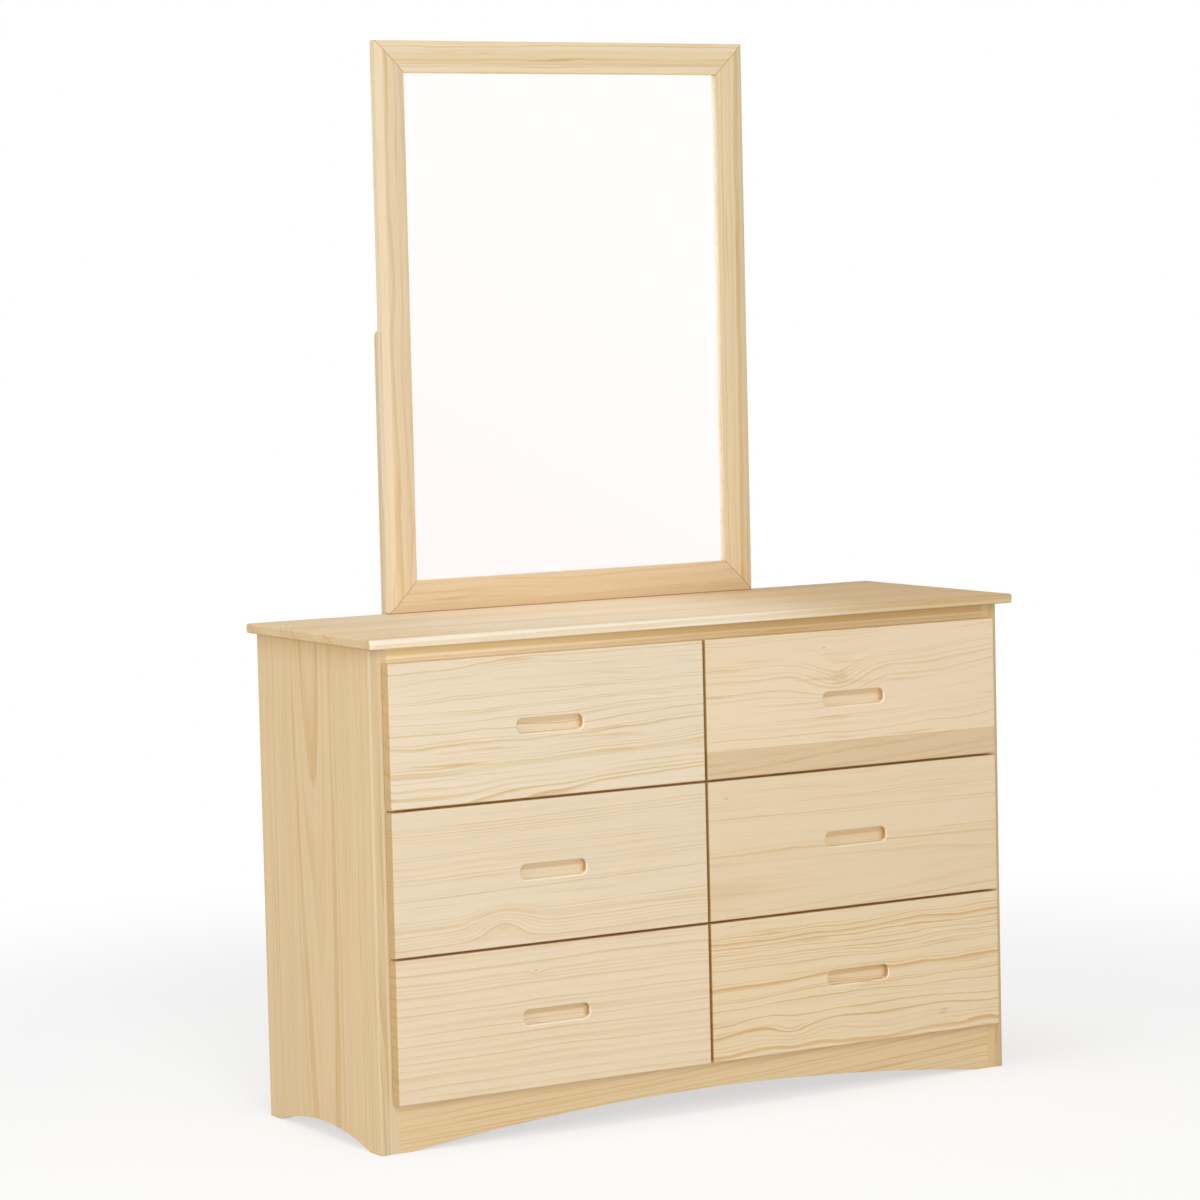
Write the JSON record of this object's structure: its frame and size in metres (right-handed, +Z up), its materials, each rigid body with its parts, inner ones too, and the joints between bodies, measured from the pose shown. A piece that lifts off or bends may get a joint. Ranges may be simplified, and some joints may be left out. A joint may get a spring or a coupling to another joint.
{
  "type": "dresser",
  "caption": "Low pine dresser with two columns of overlaid drawers that have routed finger pulls, arched feet, and a mitred mirror held up by posts at the back.",
  "frame": {"origin": "middle of the footprint on the floor, on the centre line between the two columns of drawers", "axes": "+X to the viewer's right, +Y from the drawer fronts to the back, +Z up; drawers open toward -Y"},
  "size_m": [1.2, 0.443, 1.722],
  "materials": {
    "pine_top": "clear satin lacquer on edge-glued pine",
    "pine_front": "clear satin lacquer on pine",
    "pine_side": "clear satin lacquer on edge-glued pine",
    "pine_frame": "clear satin lacquer on pine",
    "pine_mirror": "clear satin lacquer on pine moulding",
    "pine_drawer_box": "sanded, unlacquered pine",
    "plywood": "sanded, unlacquered plywood",
    "beech_runner": "planed, waxed hardwood",
    "mirror_glass": "polished, silvered behind",
    "zinc_screw": "zinc plated"
  },
  "bodies": {
    "dresser": {"apron_rail": "pine_frame", "back_panel": "plywood", "bottom_left_runners": "beech_runner", "bottom_right_runners": "beech_runner", "centre_partition": "pine_frame", "centre_stile": "pine_frame", "left_mirror_post": "pine_mirror", "left_side_panel": "pine_side", "left_stile": "pine_frame", "middle_left_divider_rail": "pine_frame", "middle_left_runners": "beech_runner", "middle_right_divider_rail": "pine_frame", "middle_right_runners": "beech_runner", "mirror_backing": "plywood", "mirror_frame_bottom": "pine_mirror", "mirror_frame_left": "pine_mirror", "mirror_frame_right": "pine_mirror", "mirror_frame_top": "pine_mirror", "mirror_glass": "mirror_glass", "mirror_post_screws": "zinc_screw", "right_mirror_post": "pine_mirror", "right_side_panel": "pine_side", "right_stile": "pine_frame", "top_left_divider_rail": "pine_frame", "top_left_runners": "beech_runner", "top_panel": "pine_top", "top_rail": "pine_frame", "top_right_divider_rail": "pine_frame", "top_right_runners": "beech_runner"},
    "top_left_drawer": {"top_left_drawer_back": "pine_drawer_box", "top_left_drawer_bottom": "plywood", "top_left_drawer_front": "pine_front", "top_left_drawer_left_side": "pine_drawer_box", "top_left_drawer_right_side": "pine_drawer_box"},
    "middle_left_drawer": {"middle_left_drawer_back": "pine_drawer_box", "middle_left_drawer_bottom": "plywood", "middle_left_drawer_front": "pine_front", "middle_left_drawer_left_side": "pine_drawer_box", "middle_left_drawer_right_side": "pine_drawer_box"},
    "bottom_left_drawer": {"bottom_left_drawer_back": "pine_drawer_box", "bottom_left_drawer_bottom": "plywood", "bottom_left_drawer_front": "pine_front", "bottom_left_drawer_left_side": "pine_drawer_box", "bottom_left_drawer_right_side": "pine_drawer_box"},
    "top_right_drawer": {"top_right_drawer_back": "pine_drawer_box", "top_right_drawer_bottom": "plywood", "top_right_drawer_front": "pine_front", "top_right_drawer_left_side": "pine_drawer_box", "top_right_drawer_right_side": "pine_drawer_box"},
    "middle_right_drawer": {"middle_right_drawer_back": "pine_drawer_box", "middle_right_drawer_bottom": "plywood", "middle_right_drawer_front": "pine_front", "middle_right_drawer_left_side": "pine_drawer_box", "middle_right_drawer_right_side": "pine_drawer_box"},
    "bottom_right_drawer": {"bottom_right_drawer_back": "pine_drawer_box", "bottom_right_drawer_bottom": "plywood", "bottom_right_drawer_front": "pine_front", "bottom_right_drawer_left_side": "pine_drawer_box", "bottom_right_drawer_right_side": "pine_drawer_box"}
  },
  "joints": [
    {"name": "top_left_drawer_slide", "type": "slide", "parent": "dresser", "child": "top_left_drawer", "axis": [0, -1, 0], "range_m": [0, 0.27]},
    {"name": "middle_left_drawer_slide", "type": "slide", "parent": "dresser", "child": "middle_left_drawer", "axis": [0, -1, 0], "range_m": [0, 0.27]},
    {"name": "bottom_left_drawer_slide", "type": "slide", "parent": "dresser", "child": "bottom_left_drawer", "axis": [0, -1, 0], "range_m": [0, 0.27]},
    {"name": "top_right_drawer_slide", "type": "slide", "parent": "dresser", "child": "top_right_drawer", "axis": [0, -1, 0], "range_m": [0, 0.27]},
    {"name": "middle_right_drawer_slide", "type": "slide", "parent": "dresser", "child": "middle_right_drawer", "axis": [0, -1, 0], "range_m": [0, 0.27]},
    {"name": "bottom_right_drawer_slide", "type": "slide", "parent": "dresser", "child": "bottom_right_drawer", "axis": [0, -1, 0], "range_m": [0, 0.27]}
  ]
}
